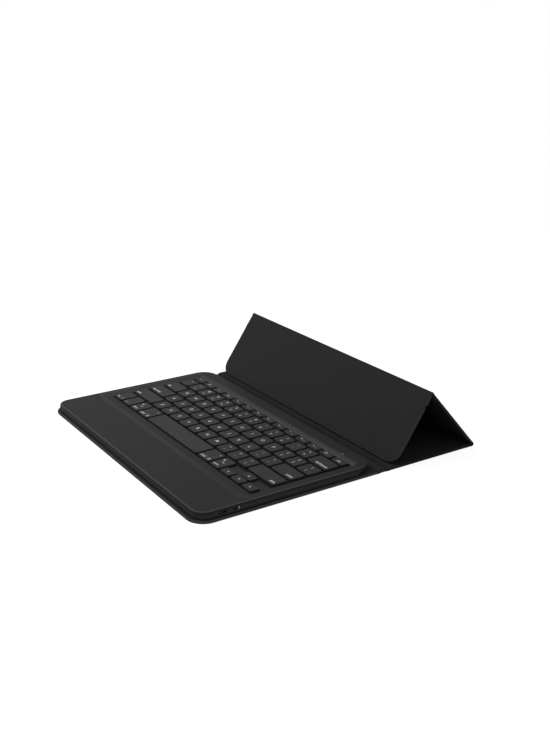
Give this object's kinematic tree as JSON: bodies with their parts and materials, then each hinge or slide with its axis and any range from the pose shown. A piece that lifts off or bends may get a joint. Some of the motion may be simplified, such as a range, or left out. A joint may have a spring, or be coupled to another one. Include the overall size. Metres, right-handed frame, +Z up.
{
  "type": "tablet keyboard case",
  "caption": "Fold-over tablet case with a built-in low-profile keyboard; its rear cover folds into a tented stand that props a tablet behind the keys.",
  "frame": {"origin": "on the table, under the middle of the whole open case", "axes": "+X to the typist's right along the key rows, +Y away from the typist towards the stand, +Z up"},
  "size_m": [0.314, 0.3077, 0.0668],
  "materials": {
    "cover_skin": "fine-grained black coated cloth",
    "cover_lining": "black brushed lining",
    "stiffener": "stiff grey sheet",
    "magnet": "plated bar",
    "case_plastic": "matt charcoal moulding",
    "deck_plastic": "matt charcoal moulding, softly textured",
    "key_plastic": "satin charcoal caps",
    "plate_steel": "thin stamped sheet",
    "membrane_film": "clear printed film",
    "dome_rubber": "soft rubber",
    "battery_wrap": "wrapped flat cell",
    "circuit_laminate": "green laminate",
    "socket_metal": "bright plated shell",
    "socket_plastic": "black plastic",
    "light_lens": "clear blue lens"
  },
  "bodies": {
    "keyboard": {"base_cover": "cover_skin", "base_fold": "cover_skin", "bottom_case": "case_plastic", "top_shell": "deck_plastic", "key_frame": "deck_plastic", "key_plate": "plate_steel", "membrane_sheet": "membrane_film", "rubber_domes": "dome_rubber", "battery_cell": "battery_wrap", "controller_board": "circuit_laminate", "usb_shell": "socket_metal", "usb_tongue": "socket_plastic", "switch_housing": "socket_plastic", "status_light": "light_lens"},
    "spine": {"spine_cover": "cover_skin", "spine_fold": "cover_skin"},
    "floor_panel": {"floor_cover": "cover_skin", "floor_board": "stiffener", "floor_lining": "cover_lining", "floor_magnets": "magnet", "rear_fold": "cover_skin"},
    "leg_panel": {"leg_cover": "cover_skin", "leg_board": "stiffener", "leg_lining": "cover_lining", "peak_fold": "cover_skin"},
    "strip_panel": {"edge_strip": "cover_skin", "seam_fold": "cover_skin"},
    "flap_panel": {"flap_cover": "cover_skin", "flap_board": "stiffener", "flap_lining": "cover_lining", "flap_magnets": "magnet"},
    "power_switch": {"power_switch_knob": "socket_plastic"},
    "backspace_key": {"backspace_key": "key_plastic"},
    "tab_key": {"tab_key": "key_plastic"},
    "caps_lock_key": {"caps_lock_key": "key_plastic"},
    "enter_key": {"enter_key": "key_plastic"},
    "left_shift_key": {"left_shift_key": "key_plastic"},
    "right_shift_key": {"right_shift_key": "key_plastic"},
    "fn_key": {"fn_key": "key_plastic"},
    "ctrl_key": {"ctrl_key": "key_plastic"},
    "left_alt_key": {"left_alt_key": "key_plastic"},
    "left_cmd_key": {"left_cmd_key": "key_plastic"},
    "space_bar": {"space_bar": "key_plastic"},
    "right_cmd_key": {"right_cmd_key": "key_plastic"},
    "right_alt_key": {"right_alt_key": "key_plastic"},
    "left_arrow_key": {"left_arrow_key": "key_plastic"},
    "up_arrow_key": {"up_arrow_key": "key_plastic"},
    "down_arrow_key": {"down_arrow_key": "key_plastic"},
    "right_arrow_key": {"right_arrow_key": "key_plastic"},
    "function_keys": {"function_keys": "key_plastic"},
    "number_keys": {"number_keys": "key_plastic"},
    "upper_letter_keys": {"upper_letter_keys": "key_plastic"},
    "home_letter_keys": {"home_letter_keys": "key_plastic"},
    "lower_letter_keys": {"lower_letter_keys": "key_plastic"}
  },
  "joints": [
    {"name": "base_hinge", "type": "hinge", "parent": "keyboard", "child": "spine", "pos_m": [0, 0.0352, 0.0006], "axis": [1, 0, 0], "range_deg": [0, 90]},
    {"name": "spine_hinge", "type": "hinge", "parent": "spine", "child": "floor_panel", "pos_m": [0, 0.0467, 0.0006], "axis": [1, 0, 0], "range_deg": [0, 90]},
    {"name": "rear_hinge", "type": "hinge", "parent": "floor_panel", "child": "leg_panel", "pos_m": [0, 0.1521, 0.0013], "axis": [-1, 0, 0], "range_deg": [0, 131.1]},
    {"name": "peak_hinge", "type": "hinge", "parent": "leg_panel", "child": "strip_panel", "pos_m": [0, 0.09642, 0.06619], "axis": [-1, 0, 0], "range_deg": [0, 104]},
    {"name": "flap_hinge", "type": "hinge", "parent": "strip_panel", "child": "flap_panel", "pos_m": [0, 0.08784, 0.05389], "axis": [-1, 0, 0], "range_deg": [0, 90]},
    {"name": "power_switch_slide", "type": "slide", "parent": "keyboard", "child": "power_switch", "axis": [0, 1, 0], "range_m": [0, 0.0036]},
    {"name": "backspace_key_press", "type": "slide", "parent": "keyboard", "child": "backspace_key", "axis": [0, 0, 1], "range_m": [-0.0015, 0], "stiffness_N_per_m": 400, "springref_m": 0.0005},
    {"name": "tab_key_press", "type": "slide", "parent": "keyboard", "child": "tab_key", "axis": [0, 0, 1], "range_m": [-0.0015, 0], "stiffness_N_per_m": 400, "springref_m": 0.0005},
    {"name": "caps_lock_key_press", "type": "slide", "parent": "keyboard", "child": "caps_lock_key", "axis": [0, 0, 1], "range_m": [-0.0015, 0], "stiffness_N_per_m": 400, "springref_m": 0.0005},
    {"name": "enter_key_press", "type": "slide", "parent": "keyboard", "child": "enter_key", "axis": [0, 0, 1], "range_m": [-0.0015, 0], "stiffness_N_per_m": 400, "springref_m": 0.0005},
    {"name": "left_shift_key_press", "type": "slide", "parent": "keyboard", "child": "left_shift_key", "axis": [0, 0, 1], "range_m": [-0.0015, 0], "stiffness_N_per_m": 400, "springref_m": 0.0005},
    {"name": "right_shift_key_press", "type": "slide", "parent": "keyboard", "child": "right_shift_key", "axis": [0, 0, 1], "range_m": [-0.0015, 0], "stiffness_N_per_m": 400, "springref_m": 0.0005},
    {"name": "fn_key_press", "type": "slide", "parent": "keyboard", "child": "fn_key", "axis": [0, 0, 1], "range_m": [-0.0015, 0], "stiffness_N_per_m": 400, "springref_m": 0.0005},
    {"name": "ctrl_key_press", "type": "slide", "parent": "keyboard", "child": "ctrl_key", "axis": [0, 0, 1], "range_m": [-0.0015, 0], "stiffness_N_per_m": 400, "springref_m": 0.0005},
    {"name": "left_alt_key_press", "type": "slide", "parent": "keyboard", "child": "left_alt_key", "axis": [0, 0, 1], "range_m": [-0.0015, 0], "stiffness_N_per_m": 400, "springref_m": 0.0005},
    {"name": "left_cmd_key_press", "type": "slide", "parent": "keyboard", "child": "left_cmd_key", "axis": [0, 0, 1], "range_m": [-0.0015, 0], "stiffness_N_per_m": 400, "springref_m": 0.0005},
    {"name": "space_bar_press", "type": "slide", "parent": "keyboard", "child": "space_bar", "axis": [0, 0, 1], "range_m": [-0.0015, 0], "stiffness_N_per_m": 400, "springref_m": 0.0005},
    {"name": "right_cmd_key_press", "type": "slide", "parent": "keyboard", "child": "right_cmd_key", "axis": [0, 0, 1], "range_m": [-0.0015, 0], "stiffness_N_per_m": 400, "springref_m": 0.0005},
    {"name": "right_alt_key_press", "type": "slide", "parent": "keyboard", "child": "right_alt_key", "axis": [0, 0, 1], "range_m": [-0.0015, 0], "stiffness_N_per_m": 400, "springref_m": 0.0005},
    {"name": "left_arrow_key_press", "type": "slide", "parent": "keyboard", "child": "left_arrow_key", "axis": [0, 0, 1], "range_m": [-0.0015, 0], "stiffness_N_per_m": 400, "springref_m": 0.0005},
    {"name": "up_arrow_key_press", "type": "slide", "parent": "keyboard", "child": "up_arrow_key", "axis": [0, 0, 1], "range_m": [-0.0015, 0], "stiffness_N_per_m": 400, "springref_m": 0.0005},
    {"name": "down_arrow_key_press", "type": "slide", "parent": "keyboard", "child": "down_arrow_key", "axis": [0, 0, 1], "range_m": [-0.0015, 0], "stiffness_N_per_m": 400, "springref_m": 0.0005},
    {"name": "right_arrow_key_press", "type": "slide", "parent": "keyboard", "child": "right_arrow_key", "axis": [0, 0, 1], "range_m": [-0.0015, 0], "stiffness_N_per_m": 400, "springref_m": 0.0005},
    {"name": "function_keys_press", "type": "slide", "parent": "keyboard", "child": "function_keys", "axis": [0, 0, 1], "range_m": [-0.0015, 0], "stiffness_N_per_m": 400, "springref_m": 0.0005},
    {"name": "number_keys_press", "type": "slide", "parent": "keyboard", "child": "number_keys", "axis": [0, 0, 1], "range_m": [-0.0015, 0], "stiffness_N_per_m": 400, "springref_m": 0.0005},
    {"name": "upper_letter_keys_press", "type": "slide", "parent": "keyboard", "child": "upper_letter_keys", "axis": [0, 0, 1], "range_m": [-0.0015, 0], "stiffness_N_per_m": 400, "springref_m": 0.0005},
    {"name": "home_letter_keys_press", "type": "slide", "parent": "keyboard", "child": "home_letter_keys", "axis": [0, 0, 1], "range_m": [-0.0015, 0], "stiffness_N_per_m": 400, "springref_m": 0.0005},
    {"name": "lower_letter_keys_press", "type": "slide", "parent": "keyboard", "child": "lower_letter_keys", "axis": [0, 0, 1], "range_m": [-0.0015, 0], "stiffness_N_per_m": 400, "springref_m": 0.0005}
  ]
}
